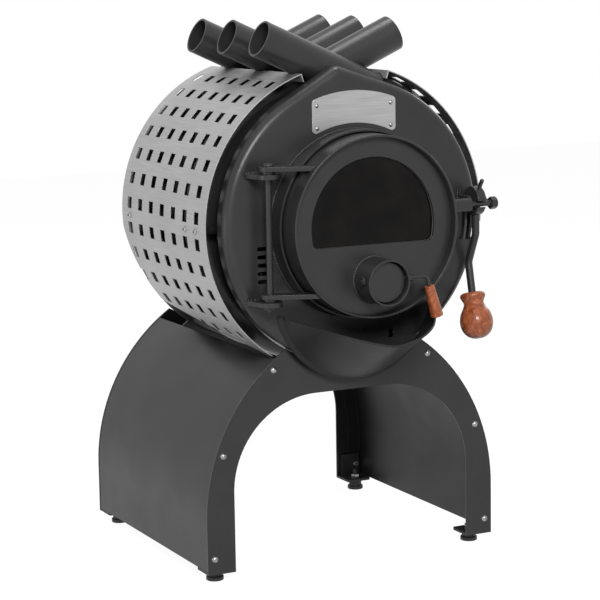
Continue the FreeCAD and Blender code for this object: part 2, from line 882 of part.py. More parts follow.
# Hinge arms on the door, from the pin's eye forward to the side of the door ring
def hinge_arm(z):
    eye = rod_z(hinge_eye, z, z + hinge_plate, hinge_x, hinge_y)
    front = door_front_y + 4
    rear = collar_front - 4
    bend = -collar_outer + 21
    tip = -door_radius + 46
    outline = [
        (hinge_x - 5.5, hinge_y - hinge_eye * 0.92, z),
        (tip, front, z),
        (tip, rear, z),
        (bend, rear, z),
        (hinge_x + 10.5, hinge_y + hinge_eye * 0.66, z),
    ]
    arm = join([eye, prism(outline, (0, 0, hinge_plate))])
    arm = arm.cut(rod_y(door_radius + 0.05, door_front_y - 1, plate_y, 0, drum_height))
    arm = max(arm.Solids, key=lambda s: -s.CenterOfMass.x)
    return arm.cut(rod_z(hinge_pin_radius + 0.02, z - 1, z + hinge_plate + 1, hinge_x, hinge_y))


save("hinge_arms", [hinge_arm(upper_arm_z), hinge_arm(lower_arm_z)])

pin_low = lower_lug_z - hinge_rest_gap - hinge_nut_height - hinge_pin_end
pin_top = upper_arm_z + hinge_plate
pin = rod_z(hinge_pin_radius, pin_low, pin_top, hinge_x, hinge_y)
pin_head = turned([
    (0, 0),
    (hinge_head_radius, 0),
    (hinge_head_radius, hinge_head_height / 2),
    (hinge_head_radius * 0.75, hinge_head_height),
    (0, hinge_head_height),
])
pin_head.translate(vec(hinge_x, hinge_y, pin_top))
save("hinge_pin", join([pin, pin_head]))

pin_nut = nut(hinge_nut_flats, hinge_nut_height, hinge_pin_radius + thread_clear)
pin_nut.translate(vec(hinge_x, hinge_y, lower_lug_z - hinge_rest_gap - hinge_nut_height))
save("hinge_nut", pin_nut)


def hinge_washer(lug_z):
    low = lug_z + hinge_plate + hinge_rest_gap
    high = lug_z + hinge_plate + hinge_spacer
    washer = rod_z(hinge_washer_radius, low, high, hinge_x, hinge_y)
    return washer.cut(rod_z(hinge_pin_radius + thread_clear, low - 1, high + 1, hinge_x, hinge_y))


save("hinge_washers", [hinge_washer(upper_lug_z), hinge_washer(lower_lug_z)])


# Door ring, face, seal and the parts that hold the window
ring = ring_y(door_radius, ring_inner, door_front_y, door_rear_y, 0, drum_height)
ring = ring.makeFillet(1.4, [e for e in ring.Edges if e.BoundBox.YMax < door_front_y + 0.01])
save("door_ring", ring)


def window_shape(radius, sill, y0, y1, corner):
    disc = rod_y(radius, y0, y1, 0, drum_height)
    shape = disc.common(block(-radius, radius, y0, y1, drum_height - sill, drum_height + radius + 1))
    edges = [e for e in shape.Edges if e.BoundBox.YLength > y1 - y0 - 0.01 and e.BoundBox.XLength < 0.01
             and e.BoundBox.ZMax < drum_height - sill + 0.01]
    return shape.makeFillet(corner, edges)


face = rod_y(ring_inner - 0.1, face_y, face_back, 0, drum_height)
face = face.cut(window_shape(window_radius, window_sill, face_y - 1, face_back + 1, window_corner))
face = face.cut(rod_y(inlet_radius - inlet_wall, face_y - 1, face_back + 1, 0, inlet_z))

pane_radius = window_radius + pane_overlap
pane_sill = window_sill + pane_overlap
seal_back = face_back + pane_seal_thickness
pane_back = seal_back + pane_thickness
retainer_back = pane_back + retainer_thickness
retainer_outer = window_radius + retainer_width
retainer_sill = window_sill + retainer_width
clip_radius = retainer_outer - (retainer_width - pane_overlap) / 2

clip_places = []
for angle in retainer_screw_angles:
    turn = math.radians(angle)
    clip_places.append((clip_radius * math.cos(turn), drum_height + clip_radius * math.sin(turn)))
face = drilled(face, face_y + 1.2, face_back + 1, clip_places, 2 + thread_clear)
save("door_face", face)

seal = window_shape(pane_radius, pane_sill, face_back, seal_back, window_corner + 4)
seal = seal.cut(window_shape(window_radius, window_sill, face_back - 1, seal_back + 1, window_corner))
save("glass_seal", seal)
save("door_glass", window_shape(pane_radius, pane_sill, seal_back, pane_back, window_corner + 4))

retainer = window_shape(retainer_outer, retainer_sill, pane_back, retainer_back, window_corner + 8)
retainer = retainer.cut(window_shape(window_radius, window_sill, pane_back - 1, retainer_back + 1,
                                     window_corner))
retainer = drilled(retainer, pane_back - 1, retainer_back + 1, clip_places, 2 + hole_clear)
save("glass_retainer", retainer)

retainer_screw = button_screw(2, retainer_back - face_y - 1.5, 3.6, 2.2, 2.5)
save("retainer_screws", [aim(retainer_screw, vec(x, retainer_back, z), vec(0, 1, 0)) for x, z in clip_places])

rope_centre = ring_inner - rope_radius - 0.6
rope_y = seat_y - rope_gap - rope_radius
rope = Part.makeTorus(rope_centre, rope_radius, vec(0, rope_y, drum_height), vec(0, 1, 0))
save("rope_seal", rope)

channel_front = rope_y - rope_radius - 0.5 - channel_thickness
channel_lip = rope_centre - rope_radius - 0.6
channel = ring_y(ring_inner - 0.1, channel_lip - 2.5, channel_front, channel_front + channel_thickness,
                 0, drum_height)
channel_wall = ring_y(channel_lip, channel_lip - 2.5, channel_front, rope_y, 0, drum_height)
save("seal_channel", join([channel, channel_wall]))


# Air inlet tube on the door, with a damper disc on a shaft across it
inlet = ring_y(inlet_radius, inlet_radius - inlet_wall, inlet_front, face_y, 0, inlet_z)
inlet = inlet.cut(rod_x(damper_shaft_radius + shaft_fit, -inlet_radius - 1, inlet_radius + 1,
                        damper_y, damper_z))
save("air_inlet", inlet)

disc_back = damper_y - damper_shaft_radius
save("damper_disc", rod_y(damper_radius, disc_back - damper_thickness, disc_back, 0, inlet_z))

grip_lean = math.radians(damper_grip_lean)
grip_dir = vec(math.sin(grip_lean), 0, -math.cos(grip_lean))
lever_elbow = vec(damper_elbow, damper_y, damper_z)
grip_start = lever_elbow + grip_dir * (damper_grip_drop / math.cos(grip_lean))
lever = sweep(bent_path([
    vec(-inlet_radius - damper_shaft_end, damper_y, damper_z),
    lever_elbow,
    grip_start + grip_dir * grip_hold_depth,
], damper_bend), damper_shaft_radius)
save("damper_lever", lever)

grip_outline = [
    (0, 0),
    (damper_grip_top - 0.8, 0),
    (damper_grip_top, 0.8),
    (damper_grip_end, damper_grip_length - 1),
    (damper_grip_end - 1, damper_grip_length),
    (0, damper_grip_length),
]
grip = aim(turned(grip_outline), grip_start, grip_dir)
grip_hole = Part.makeCylinder(damper_shaft_radius + thread_clear, grip_hold_depth + grip_hole_spare)
save("damper_grip", grip.cut(aim(grip_hole, grip_start, grip_dir)))

lever_nut = nut(damper_nut_flats, damper_nut_height, damper_shaft_radius + thread_clear)
lever_nut = aim(lever_nut, vec(inlet_radius + damper_nut_gap, damper_y, damper_z), vec(1, 0, 0))
lever_cap = nut(damper_nut_flats, damper_cap_height, damper_shaft_radius + thread_clear)
lever_cap = aim(lever_cap, vec(-inlet_radius - damper_cap_gap, damper_y, damper_z), vec(-1, 0, 0))
save("damper_nuts", [lever_nut, lever_cap])


# Latch: an axle between two ears carries the hub, whose hook closes on the door's striker bolt
hub_left = latch_x - hub_width / 2
hub_right = latch_x + hub_width / 2
left_ear = hub_left - ear_gap
right_ear = hub_right + ear_gap


def latch_ear(x0, x1):
    nose = rod_x(ear_radius, x0, x1, latch_y, latch_z)
    root = block(x0, x1, latch_y, plate_y - ear_thickness + 0.5, latch_z - ear_radius, latch_z + ear_radius)
    return join([nose, root])


bracket_base = block(left_ear - ear_thickness, right_ear + ear_thickness, plate_y - ear_thickness, plate_y,
                     drum_height + notch_high + 3, latch_z + 16)
bracket = join([
    bracket_base,
    latch_ear(left_ear - ear_thickness, left_ear),
    latch_ear(right_ear, right_ear + ear_thickness),
])
bracket = bracket.cut(rod_x(axle_radius + thread_clear, 0, base_width, latch_y, latch_z))
save("latch_bracket", bracket)

axle_left = left_ear - ear_thickness - axle_head_height
axle_right = right_ear + ear_thickness + axle_nut_height + 0.8
axle = rod_x(axle_radius, axle_left + axle_head_height / 2, axle_right, latch_y, latch_z)
axle_head = rod_x(axle_radius + 1.4, axle_left, left_ear - ear_thickness, latch_y, latch_z)
axle_nut = nut(axle_nut_flats, axle_nut_height, axle_radius + thread_clear)
axle_nut = aim(axle_nut, vec(right_ear + ear_thickness, latch_y, latch_z), vec(1, 0, 0))
save("latch_axle", [join([axle, axle_head]), axle_nut])


# The hub turns in the YZ plane; a spot is given by its distance and its angle below straight ahead
def hub_spot(x, radius, angle):
    turn = math.radians(angle)
    return vec(x, latch_y - radius * math.cos(turn), latch_z - radius * math.sin(turn))


def hub_slot():
    half = striker_radius + striker_clear
    x0 = hub_left - 1
    last = striker_angle + striker_turn
    middle = (striker_angle + last) / 2
    outer = striker_reach + half
    inner = striker_reach - half
    edges = [
        Part.Arc(hub_spot(x0, outer, striker_angle), hub_spot(x0, outer, middle),
                 hub_spot(x0, outer, last)).toShape(),
        Part.makeLine(hub_spot(x0, outer, last), hub_spot(x0, inner, last)),
        Part.Arc(hub_spot(x0, inner, last), hub_spot(x0, inner, middle),
                 hub_spot(x0, inner, striker_angle)).toShape(),
        Part.makeLine(hub_spot(x0, inner, striker_angle), hub_spot(x0, outer, striker_angle)),
    ]
    track = Part.Face(Part.Wire(edges)).extrude(vec(hub_width + 2, 0, 0))
    end = hub_spot(x0, striker_reach, last)
    stop = rod_x(half, x0, hub_right + 1, end.y, end.z)
    start = rod_x(half, x0, hub_right + 1, striker_y, striker_z)
    mouth = block(x0, hub_right + 1, latch_y - hub_radius - 2, striker_y, striker_z - half, striker_z + half)
    return join([track, stop, start, mouth])


hub = rod_x(hub_radius, hub_left, hub_right, latch_y, latch_z)
hub = hub.makeFillet(1.5, [e for e in hub.Edges if len(e.Vertexes) == 1])
horn_tip = vec(latch_x, latch_y - horn_reach, latch_z + horn_rise)
horn = sweep(bent_path([
    vec(latch_x, latch_y - horn_reach * 0.62, latch_z + horn_rise * 0.37),
    vec(latch_x, latch_y - horn_reach * 0.71, latch_z + horn_rise * 0.75),
    horn_tip,
], horn_bend), horn_radius)
hub = join([hub, horn, Part.makeSphere(horn_radius, horn_tip)])
hub = hub.cut(hub_slot())
hub = hub.cut(rod_x(axle_radius + shaft_fit, hub_left - 1, hub_right + 1, latch_y, latch_z))
save("latch_hub", hub)

# Handle rod, bent clear of the plate, and its turned knob
rod_top = latch_z - hub_radius
rod_y_top = latch_y - handle_rod_offset
knob_turn = math.radians(knob_lean)
knob_dir = vec(0, -math.sin(knob_turn), -math.cos(knob_turn))
knob_start = vec(latch_x, latch_y + knob_back, latch_z - knob_drop)
handle_rod = sweep(bent_path([
    vec(latch_x, rod_y_top, rod_top + handle_rod_radius / 2),
    vec(latch_x, rod_y_top, rod_top - handle_rod_straight),
    vec(latch_x, latch_y + handle_rod_back, latch_z - handle_rod_back_drop),
    knob_start,
    knob_start + knob_dir * grip_hold_depth,
], handle_rod_bend), handle_rod_radius)
handle_rod = handle_rod.cut(rod_x(hub_radius + 0.05, hub_left - 5, hub_right + 5, latch_y, latch_z))
save("handle_rod", handle_rod)

# The knob's outline from its neck to its end, as shares of its radius and its length
knob_shares = [(0.55, 0), (0.72, 0.03), (0.77, 0.085), (0.715, 0.14), (0.625, 0.2), (0.615, 0.255), (0.72, 0.34)]
knob_shares += [(0.88, 0.435), (0.98, 0.55), (1, 0.65), (0.955, 0.76), (0.83, 0.86), (0.605, 0.945), (0.305, 1)]
knob_outline = [(knob_radius * r, knob_length * h) for r, h in knob_shares]
knob = aim(turned_smooth(knob_outline), knob_start, knob_dir)
knob_hole = Part.makeCylinder(handle_rod_radius + thread_clear, grip_hold_depth + grip_hole_spare)
save("handle_knob", knob.cut(aim(knob_hole, knob_start, knob_dir)))

# Latch bar on the door's side and the striker bolt screwed into its end
bar_end = left_ear - ear_thickness - 1.5
bar_front = striker_y - latch_bar_thickness / 2
bar = block(door_radius - 20, bar_end, bar_front, bar_front + latch_bar_thickness,
            striker_z - latch_bar_height / 2, striker_z + latch_bar_height / 2)
bar = bar.makeFillet(latch_bar_round, [e for e in bar.Edges if e.BoundBox.XLength > 1])
bar = bar.makeFillet(latch_bar_round * 0.25, [e for e in bar.Edges if e.BoundBox.XMin > bar_end - 0.01])
bar = bar.cut(rod_y(door_radius + 0.05, door_front_y - 1, plate_y, 0, drum_height))
bolt_start = bar_end - 20
bar = bar.cut(rod_x(striker_radius + thread_clear, bolt_start, bar_end + 1, striker_y, striker_z))
save("latch_bar", bar)

head_x = axle_right + 0.7
bolt = rod_x(striker_radius, bolt_start + 0.5, head_x + 1, striker_y, striker_z)
bolt_head = hexagon(striker_flats, striker_head)
bolt_head = bolt_head.common(Part.makeCone(striker_flats / 2 + striker_head, striker_flats / 2 - 0.4,
                                           striker_head + 0.4))
bolt_head = aim(bolt_head, vec(head_x, striker_y, striker_z), vec(1, 0, 0))
save("striker_bolt", join([bolt, bolt_head]))


# Ash lip: a scoop under the door, drawn as cuts through its wall from corner to corner
def lip_section(share):
    """One cut; its outer side runs from the foot on the plate over a fold to the rim far forward."""
    rim_x = lip_half_width * share
    rim_drop = lip_corner_drop - lip_drop + lip_dip * (1 - abs(share) ** 1.4)
    rim_reach = lip_reach * max(1 - abs(share) ** 2.9, 0.12)
    turn = math.atan2(rim_x, rim_drop)
    foot = (lip_radius, lip_y)
    fold = (lip_radius - lip_fold, lip_y - lip_fold)
    rim = (math.hypot(rim_x, rim_drop), lip_y - rim_reach)
    along_r = rim[0] - fold[0]
    along_y = rim[1] - fold[1]
    length = math.hypot(along_r, along_y)
    in_r = along_y / length * lip_thickness
    in_y = -along_r / length * lip_thickness
    outline = [
        foot,
        fold,
        rim,
        (rim[0] + in_r, rim[1] + in_y),
        (fold[0] + in_r, fold[1] + in_y),
        (lip_radius - lip_thickness * 1.4, lip_y),
    ]
    corners = [vec(r * math.sin(turn), y, lip_z - r * math.cos(turn)) for r, y in outline]
    return Part.makePolygon(corners + [corners[0]])


lip_shares = [math.sin(math.radians(90 * i / 9)) for i in range(-9, 10)]
lip_wall = Part.makeLoft([lip_section(share) for share in lip_shares], True, False)
lip_back = rod_y(lip_radius - 1.2, lip_y - lip_back_thickness, lip_y, 0, lip_z)
lip_back = lip_back.common(block(-lip_radius, lip_radius, lip_y - 3, lip_y,
                                 lip_z - lip_radius, lip_z - lip_back_top))
lip = join([lip_wall, lip_back])
save("ash_lip", lip.cut(block(-half_width, half_width, lip_y, 0, 0, drum_height)))


# Bare nameplate above the door and its rivets
plate_blank = ring_y(nameplate_outer, nameplate_inner, plate_y - nameplate_thickness, plate_y, 0, drum_height)
plate_blank = plate_blank.common(block(-nameplate_half_width, nameplate_half_width, plate_y - 5, plate_y + 5,
                                       drum_height, drum_height + nameplate_outer))
corners = [e for e in plate_blank.Edges if abs(e.BoundBox.YLength - nameplate_thickness) < 0.01
           and e.BoundBox.XLength < 0.01]
nameplate = plate_blank.makeFillet(nameplate_corner, corners)

rivet_x = nameplate_half_width - rivet_side_inset
rivet_places = []
for reach in (nameplate_inner + rivet_low_inset, nameplate_outer - rivet_top_inset):
    z = drum_height + math.sqrt(reach ** 2 - rivet_x ** 2)
    rivet_places.append((rivet_x, z))
    rivet_places.append((-rivet_x, z))
nameplate = drilled(nameplate, plate_y - 5, plate_y + 5, rivet_places, rivet_shank + hole_clear)
save("nameplate", nameplate)

rivet_top = Part.makeSphere(rivet_radius * 1.2, vec(0, 0, -rivet_radius * 0.66))
rivet_top = rivet_top.common(Part.makeCylinder(rivet_radius + 1, rivet_radius))
rivet = rivet_top.fuse(Part.makeCylinder(rivet_shank, nameplate_thickness, vec(0, 0, -nameplate_thickness)))
rivet = rivet.removeSplitter()
rivet_y = plate_y - nameplate_thickness
save("nameplate_rivets", [aim(rivet, vec(x, rivet_y, z), vec(0, -1, 0)) for x, z in rivet_places])
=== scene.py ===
import json
import math

import bmesh
import bpy
from mathutils import Matrix, Vector


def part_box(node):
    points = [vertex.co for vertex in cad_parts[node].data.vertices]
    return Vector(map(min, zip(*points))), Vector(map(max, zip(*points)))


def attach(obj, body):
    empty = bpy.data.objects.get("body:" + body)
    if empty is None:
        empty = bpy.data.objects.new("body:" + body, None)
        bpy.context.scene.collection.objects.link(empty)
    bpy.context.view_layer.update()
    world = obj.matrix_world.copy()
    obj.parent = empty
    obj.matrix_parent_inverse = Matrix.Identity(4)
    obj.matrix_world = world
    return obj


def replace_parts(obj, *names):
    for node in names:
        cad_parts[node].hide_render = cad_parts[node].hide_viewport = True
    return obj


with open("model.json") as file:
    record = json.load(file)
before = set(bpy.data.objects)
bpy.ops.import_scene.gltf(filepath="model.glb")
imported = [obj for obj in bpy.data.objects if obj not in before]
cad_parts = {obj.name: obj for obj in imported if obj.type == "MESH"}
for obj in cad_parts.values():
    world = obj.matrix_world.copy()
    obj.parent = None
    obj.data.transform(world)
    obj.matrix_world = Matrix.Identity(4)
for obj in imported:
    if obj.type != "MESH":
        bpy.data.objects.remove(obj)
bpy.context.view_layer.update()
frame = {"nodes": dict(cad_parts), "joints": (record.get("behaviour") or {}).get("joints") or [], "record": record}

# Looks of a steel wood stove: satin dark paint, brushed shields, varnished wood, fire glass.
# Lengths are in metres, in the same frame as the solids.

# Places read from the frame
joint_places = {joint["name"]: Vector(joint["pos_m"]) for joint in frame["joints"]}
collar_low, collar_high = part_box("door_collar")
inlet_low, inlet_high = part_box("air_inlet")
flue_low, flue_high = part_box("flue_spigot")
rope_low, rope_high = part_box("rope_seal")
lug_low, lug_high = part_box("hinge_lugs")
bracket_low, bracket_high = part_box("latch_bracket")
rear_plate_low, rear_plate_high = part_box("rear_plate")
plate_front = collar_high.y

# Sizes of the added pieces. The knob's outline is in shares of its radius and length, a strand's offset and
# radius are shares of the rope's radius, and an easing says how far an edge steps in and along.
knob_back = 0.009
knob_drop = 0.145
knob_lean = math.radians(16.26)
knob_length = 0.0725
knob_radius = 0.026
knob_outline = [
    (0.30, 0), (0.55, 0), (0.72, 0.03), (0.77, 0.085), (0.715, 0.14), (0.625, 0.2), (0.615, 0.255),
    (0.72, 0.34), (0.88, 0.435), (0.98, 0.55), (1, 0.65), (0.955, 0.76), (0.83, 0.86), (0.605, 0.945),
    (0.305, 0.995), (0, 1.005),
]
knob_steps = 5
knob_sides = 72
lever_elbow = 0.0707
grip_drop = 0.015
grip_lean = math.radians(15.9)
grip_length = 0.050
grip_top_radius = 0.0074
grip_end_radius = 0.0098
grip_hole_radius = 0.0032
grip_top_easing = [(0.0016, 0), (0.0005, 0.0006), (0, 0.0018)]
grip_end_easing = [(0, 0.002), (0.0006, 0.0006), (0.0018, 0)]
grip_sides = 48
lug_thickness = 0.007
weld_radius = 0.0021
weld_ripple = 0.2
weld_sides = 7
collar_weld_steps = 880
inlet_weld_steps = 240
flue_weld_steps = 400
lug_weld_steps = 24
lug_weld_start = 0.001
lug_weld_end = 0.016
bracket_weld_steps = 30
bracket_weld_inset = 0.001
rope_twists = 46
rope_strands = 3
rope_steps_per_twist = 16
strand_offset = 0.5
strand_radius = 0.49
strand_sides = 7
soot_depth = 0.0005
edge_round = 0.0014
fastener_round = 0.0002


# Node helpers for materials
def start_material(name):
    material = bpy.data.materials.new(name)
    material.use_nodes = True
    return material, material.node_tree, material.node_tree.nodes["Principled BSDF"]


def place_coords(tree, stretch=(1, 1, 1)):
    """Object coordinates in metres, stretched by a factor along each axis."""
    source = tree.nodes.new("ShaderNodeTexCoord")
    mapping = tree.nodes.new("ShaderNodeMapping")
    mapping.inputs["Scale"].default_value = stretch
    tree.links.new(source.outputs["Object"], mapping.inputs["Vector"])
    return mapping.outputs["Vector"]


def noise(tree, coords, scale, detail=3.0, distortion=0.0):
    node = tree.nodes.new("ShaderNodeTexNoise")
    node.inputs["Scale"].default_value = scale
    node.inputs["Detail"].default_value = detail
    node.inputs["Distortion"].default_value = distortion
    tree.links.new(coords, node.inputs["Vector"])
    return node.outputs["Fac"]


def ramp(tree, value, stops):
    """A colour ramp with stops given as (place, colour)."""
    node = tree.nodes.new("ShaderNodeValToRGB")
    elements = node.color_ramp.elements
    while len(elements) < len(stops):
        elements.new(0.5)
    for element, (place, colour) in zip(elements, stops):
        element.position = place
        element.color = (*colour, 1)
    tree.links.new(value, node.inputs["Fac"])
    return node.outputs["Color"]


def spread(tree, value, low, high):
    """Stretch a noise value, which lies mostly between 0.3 and 0.7, over a range."""
    node = tree.nodes.new("ShaderNodeMapRange")
    node.inputs["From Min"].default_value = 0.3
    node.inputs["From Max"].default_value = 0.7
    node.inputs["To Min"].default_value = low
    node.inputs["To Max"].default_value = high
    tree.links.new(value, node.inputs["Value"])
    return node.outputs["Result"]


def mix_colours(tree, share, first, second, blend="MIX"):
    node = tree.nodes.new("ShaderNodeMix")
    node.data_type = "RGBA"
    node.blend_type = blend
    connect(tree, share, node.inputs[0])
    connect(tree, first, node.inputs[6])
    connect(tree, second, node.inputs[7])
    return node.outputs[2]


def connect(tree, value, socket):
    """Link a socket, or set a plain number or colour."""
    if isinstance(value, bpy.types.NodeSocket):
        tree.links.new(value, socket)
    else:
        socket.default_value = value if isinstance(value, (int, float)) else (*value, 1)


def bump(tree, shader, height, distance, strength=1.0, rounding=edge_round):
    """Fine relief, on top of slightly broken edges where a rounding is given."""
    node = tree.nodes.new("ShaderNodeBump")
    node.inputs["Distance"].default_value = distance
    node.inputs["Strength"].default_value = strength
    tree.links.new(height, node.inputs["Height"])
    tree.links.new(node.outputs["Normal"], shader.inputs["Normal"])
    if rounding > 0:
        edges = tree.nodes.new("ShaderNodeBevel")
        edges.samples = 4
        edges.inputs["Radius"].default_value = rounding
        tree.links.new(edges.outputs["Normal"], node.inputs["Normal"])


def grey(level):
    return (level, level, level)


# Satin heat-proof paint: a fine sprayed grain and faint clouds of tone and sheen. A plate is sooty where it
# lies in front of soot_before along Y.
def make_paint(name, dark, light, rough_low, rough_high, gloss=0.36, soot_before=None):
    material, tree, shader = start_material(name)
    coords = place_coords(tree)
    grain = noise(tree, coords, 1500, 2.0)
    clouds = noise(tree, coords, 14, 4.0, 0.4)
    speckle = ramp(tree, grain, [(0.35, grey(dark)), (0.7, grey(light))])
    dust = ramp(tree, clouds, [(0.35, grey(0.9)), (0.75, grey(1.15))])
    colour = mix_colours(tree, 1.0, speckle, dust, "MULTIPLY")
    if soot_before is not None:
        soot = ramp(tree, clouds, [(0.3, (0.004, 0.0035, 0.0035)), (0.7, (0.010, 0.008, 0.007))])
        colour = mix_colours(tree, inside_share(tree, coords, soot_before), colour, soot)
    tree.links.new(colour, shader.inputs["Base Color"])
    tree.links.new(spread(tree, clouds, rough_low, rough_high), shader.inputs["Roughness"])
    shader.inputs["Specular IOR Level"].default_value = gloss
    bump(tree, shader, grain, 0.00012, 0.5)
    return material


def inside_share(tree, coords, limit):
    """1 in front of a limit along Y, where a plate shows its inner side."""
    axes = tree.nodes.new("ShaderNodeSeparateXYZ")
    tree.links.new(coords, axes.inputs["Vector"])
    front = tree.nodes.new("ShaderNodeMath")
    front.operation = "LESS_THAN"
    front.inputs[1].default_value = limit
    tree.links.new(axes.outputs["Y"], front.inputs[0])
    return front.outputs[0]


# Sheet steel with brush lines along Y
def make_brushed(name, dark, light, rough_low, rough_high, stretch):
    material, tree, shader = start_material(name)
    lines = noise(tree, place_coords(tree, stretch), 1.0, 3.0)
    clouds = noise(tree, place_coords(tree), 11, 3.0)
    colour = ramp(tree, lines, [(0.3, grey(dark)), (0.72, grey(light))])
    haze = ramp(tree, clouds, [(0.3, grey(0.94)), (0.7, grey(1.04))])
    tree.links.new(mix_colours(tree, 1.0, colour, haze, "MULTIPLY"), shader.inputs["Base Color"])
    tree.links.new(spread(tree, lines, rough_low, rough_high), shader.inputs["Roughness"])
    shader.inputs["Metallic"].default_value = 1.0
    bump(tree, shader, lines, 0.00004, 0.4)
    return material


# Plain steel of fasteners: slightly uneven plating
def make_plated(name, dark, light, rough_low, rough_high):
    material, tree, shader = start_material(name)
    blotches = noise(tree, place_coords(tree), 420, 4.0)
    tree.links.new(ramp(tree, blotches, [(0.3, grey(dark)), (0.7, grey(light))]), shader.inputs["Base Color"])
    tree.links.new(spread(tree, blotches, rough_low, rough_high), shader.inputs["Roughness"])
    shader.inputs["Metallic"].default_value = 1.0
    bump(tree, shader, blotches, 0.00004, 0.4, rounding=fastener_round)
    return material


# Varnished red-brown burl: swirling figure, dark eyes and flecks, and a clear glossy coat
def make_wood(name, pale, warm, deep, fleck):
    material, tree, shader = start_material(name)
    figure = noise(tree, place_coords(tree, (1, 1, 0.55)), 75, 6.0, 2.4)
    pores = noise(tree, place_coords(tree, (1, 1, 0.35)), 520, 3.0)
    blots = noise(tree, place_coords(tree), 210, 4.0, 1.2)
    colour = ramp(tree, figure, [(0.3, deep), (0.48, warm), (0.66, pale)])
    pore_tint = ramp(tree, pores, [(0.38, grey(0.75)), (0.5, grey(1.0))])
    blot_share = ramp(tree, blots, [(0.6, grey(0.0)), (0.72, grey(0.7))])
    colour = mix_colours(tree, 0.6, colour, pore_tint, "MULTIPLY")
    colour = mix_colours(tree, blot_share, colour, fleck)
    tree.links.new(colour, shader.inputs["Base Color"])
    tree.links.new(spread(tree, blots, 0.34, 0.46), shader.inputs["Roughness"])
    shader.inputs["Specular IOR Level"].default_value = 0.25
    shader.inputs["Coat Weight"].default_value = 0.45
    shader.inputs["Coat Roughness"].default_value = 0.1
    bump(tree, shader, pores, 0.00006, 0.3, rounding=0)
    return material


# Fire glass darkened by a smoky film
def make_glass(name):
    material, tree, shader = start_material(name)
    film = noise(tree, place_coords(tree), 24, 4.0, 0.5)
    tree.links.new(ramp(tree, film, [(0.3, (0.004, 0.0034, 0.0032)), (0.75, (0.010, 0.008, 0.0072))]),
                   shader.inputs["Base Color"])
    tree.links.new(spread(tree, film, 0.90, 0.96), shader.inputs["Alpha"])
    tree.links.new(spread(tree, film, 0.03, 0.07), shader.inputs["Roughness"])
    shader.inputs["IOR"].default_value = 1.5
    shader.inputs["Specular IOR Level"].default_value = 0.12
    return material


# Woven seal cord: crossing threads with a dusty grey colour
def make_cord(name):
    material, tree, shader = start_material(name)
    threads = noise(tree, place_coords(tree), 1300, 3.0)
    stains = noise(tree, place_coords(tree), 60, 3.0)
    colour = ramp(tree, threads, [(0.3, (0.16, 0.15, 0.14)), (0.7, (0.46, 0.44, 0.41))])
    soot = ramp(tree, stains, [(0.4, grey(0.65)), (0.65, grey(1.0))])
    tree.links.new(mix_colours(tree, 1.0, colour, soot, "MULTIPLY"), shader.inputs["Base Color"])
    shader.inputs["Roughness"].default_value = 0.95
    bump(tree, shader, threads, 0.0004, 0.9)
    return material


# Sooty firebox steel: smooth brown-black scale. On the shield posts the same near-black is painted shade for the
# dark gap behind the shields.
def make_soot_and_shade_black(name):
    material, tree, shader = start_material(name)
    scale = noise(tree, place_coords(tree), 35, 5.0, 0.6)
    soot = ramp(tree, scale, [(0.35, (0.004, 0.0035, 0.0035)), (0.55, (0.009, 0.0075, 0.007)),
                              (0.72, (0.018, 0.013, 0.011))])
    tree.links.new(soot, shader.inputs["Base Color"])
    tree.links.new(spread(tree, scale, 0.8, 0.95), shader.inputs["Roughness"])
    shader.inputs["Specular IOR Level"].default_value = 0.2
    bump(tree, shader, scale, 0.0003, 0.4)
    return material


# Matte moulded pads of the feet
def make_pad(name):
    material, tree, shader = start_material(name)
    grain = noise(tree, place_coords(tree), 900, 2.0)
    tree.links.new(ramp(tree, grain, [(0.3, grey(0.012)), (0.7, grey(0.022))]), shader.inputs["Base Color"])
    tree.links.new(spread(tree, grain, 0.5, 0.65), shader.inputs["Roughness"])
    bump(tree, shader, grain, 0.0001, 0.5)
    return material


materials = {
    "stove_paint": make_paint("satin_dark_paint", 0.026, 0.036, 0.27, 0.37),
    "shield_steel": make_brushed("brushed_sheet", 0.37, 0.47, 0.46, 0.58, (900, 14, 900)),
    "nameplate_steel": make_brushed("brushed_plate", 0.36, 0.48, 0.30, 0.42, (16, 900, 1100)),
    "zinc_screws": make_plated("bright_zinc", 0.24, 0.38, 0.22, 0.34),
    "bare_steel": make_plated("dull_steel", 0.16, 0.26, 0.35, 0.5),
    "grip_wood": make_wood("varnished_burl", (0.60, 0.18, 0.068), (0.43, 0.110, 0.038), (0.25, 0.056, 0.018),
                           (0.07, 0.014, 0.006)),
    "window_glass": make_glass("fire_glass"),
    "seal_cord": make_cord("woven_cord"),
    "foot_black": make_pad("moulded_pad"),
}
# Near-black sooty steel: real soot inside the firebox, painted shade on the shield posts
soot_and_shade_material = make_soot_and_shade_black("soot_and_shade_steel")
rear_plate_material = make_paint("paint_over_soot", 0.026, 0.036, 0.27, 0.37,
                                 soot_before=rear_plate_low.y + soot_depth)
lip_material = make_paint("dulled_paint", 0.026, 0.036, 0.42, 0.52, gloss=0.16)
side_material = make_paint("sheet_paint", 0.026, 0.036, 0.32, 0.42, gloss=0.24)
special_finishes = {
    "firebox_shell": soot_and_shade_material,
    "baffle_plate": soot_and_shade_material,
    "baffle_rails": soot_and_shade_material,
    # the shield posts take the near-black sooty finish as painted shade in the dark gap behind the shields
    "shield_posts": soot_and_shade_material,
    "foot_brackets": materials["foot_black"],
    "rear_plate": rear_plate_material,
    "ash_lip": lip_material,
    "base_left_side": side_material,
    "base_right_side": side_material,
}

# Every solid takes the material of its slot, or its own finish
for entry in frame["record"]["subparts"]:
    node = frame["nodes"][entry["node"]]
    finish = special_finishes.get(entry["node"], materials[entry["material_slot"]])
    node.data.materials.clear()
    node.data.materials.append(finish)


# Mesh helpers for added pieces
def add_piece(name, mesh_builder, slot, body):
    mesh = bpy.data.meshes.new(name)
    mesh_builder.to_mesh(mesh)
    mesh_builder.free()
    for polygon in mesh.polygons:
        polygon.use_smooth = True
    piece = bpy.data.objects.new(name, mesh)
    bpy.context.scene.collection.objects.link(piece)
    piece.data.materials.append(materials[slot])
    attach(piece, body)
    return piece


